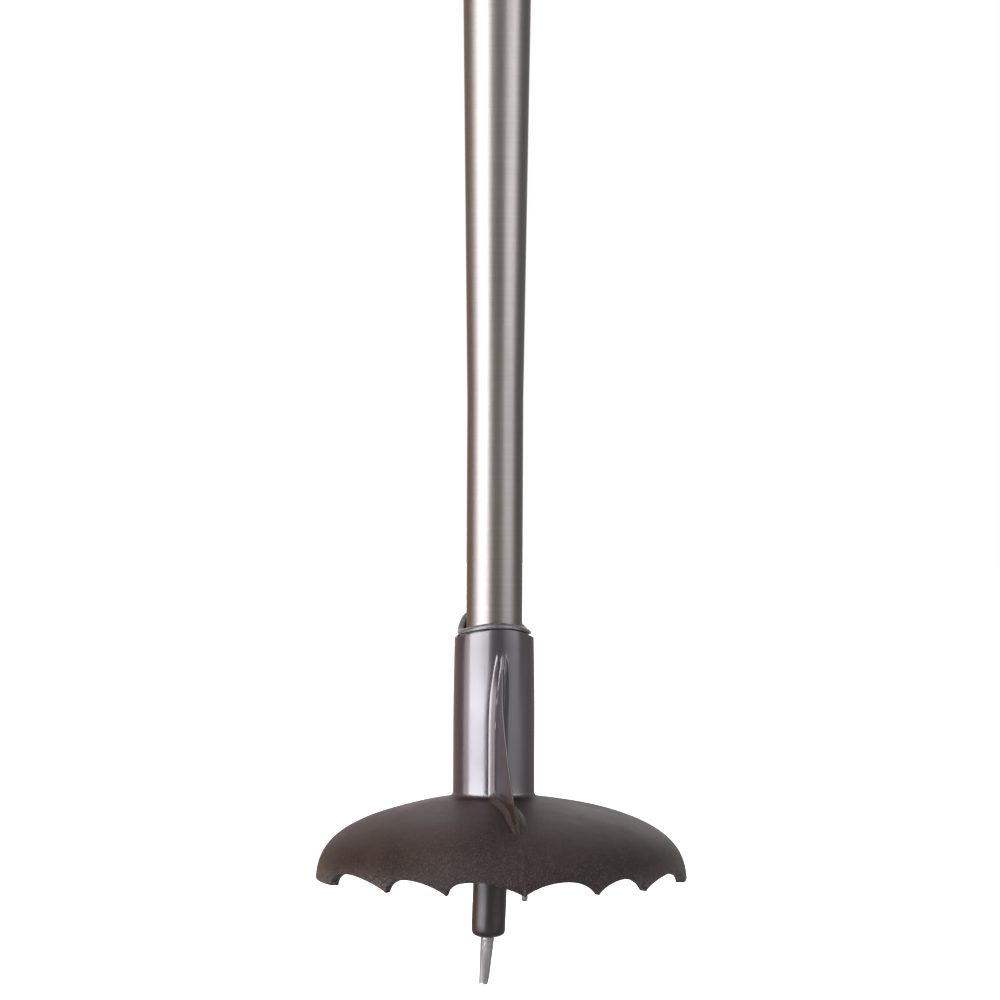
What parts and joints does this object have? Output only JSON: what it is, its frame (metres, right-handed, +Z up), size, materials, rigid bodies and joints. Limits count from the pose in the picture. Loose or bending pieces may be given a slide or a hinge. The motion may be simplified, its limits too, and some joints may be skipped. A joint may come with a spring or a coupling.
{
  "type": "ski pole",
  "caption": "Ski pole with a tapered metal shaft, a domed snow basket with a scalloped rim, a steel pin and a grip with a wrist strap.",
  "frame": {"origin": "on the shaft's axis, level with the end of the steel pin", "axes": "+Z up the shaft to the grip, +Y towards the user (the strap's side), +X across the fins"},
  "size_m": [0.0795, 0.1323, 1.05],
  "materials": {
    "shaft_aluminium": "satin anodised, fine lengthwise grain",
    "ferrule_plastic": "semi-gloss black moulded nylon",
    "pin_steel": "ground satin steel",
    "basket_plastic": "satin charcoal moulded plastic with a fine stipple",
    "grip_rubber": "matt soft-touch black",
    "inner_plastic": "satin black",
    "trim_plastic": "satin dark grey",
    "screw_steel": "zinc plated",
    "strap_fabric": "woven black webbing",
    "pad_fabric": "dark grey knitted padding",
    "keeper_rubber": "matt black"
  },
  "bodies": {
    "pole": {"shaft_tube": "shaft_aluminium", "shaft_plug": "inner_plastic", "ferrule": "ferrule_plastic", "tip_pin": "pin_steel", "grip_body": "grip_rubber", "grip_core": "inner_plastic", "grip_ring": "trim_plastic", "grip_cap": "trim_plastic", "cap_screw": "screw_steel", "strap_bracket": "inner_plastic", "strap_pin": "screw_steel"},
    "basket": {"basket": "basket_plastic"},
    "strap": {"strap_webbing": "strap_fabric", "strap_pad": "pad_fabric", "strap_keeper": "keeper_rubber"},
    "slider": {"strap_slider": "inner_plastic"}
  },
  "joints": [
    {"name": "basket_pull", "type": "slide", "parent": "pole", "child": "basket", "axis": [0, 0, -1], "range_m": [0, 0.08]},
    {"name": "strap_swing", "type": "hinge", "parent": "pole", "child": "strap", "pos_m": [0, 0.027, 1.022], "axis": [1, 0, 0], "range_deg": [0, 150]},
    {"name": "slider_travel", "type": "slide", "parent": "strap", "child": "slider", "axis": [0, 0.3747, -0.9271], "range_m": [-0.012, 0.03]}
  ]
}
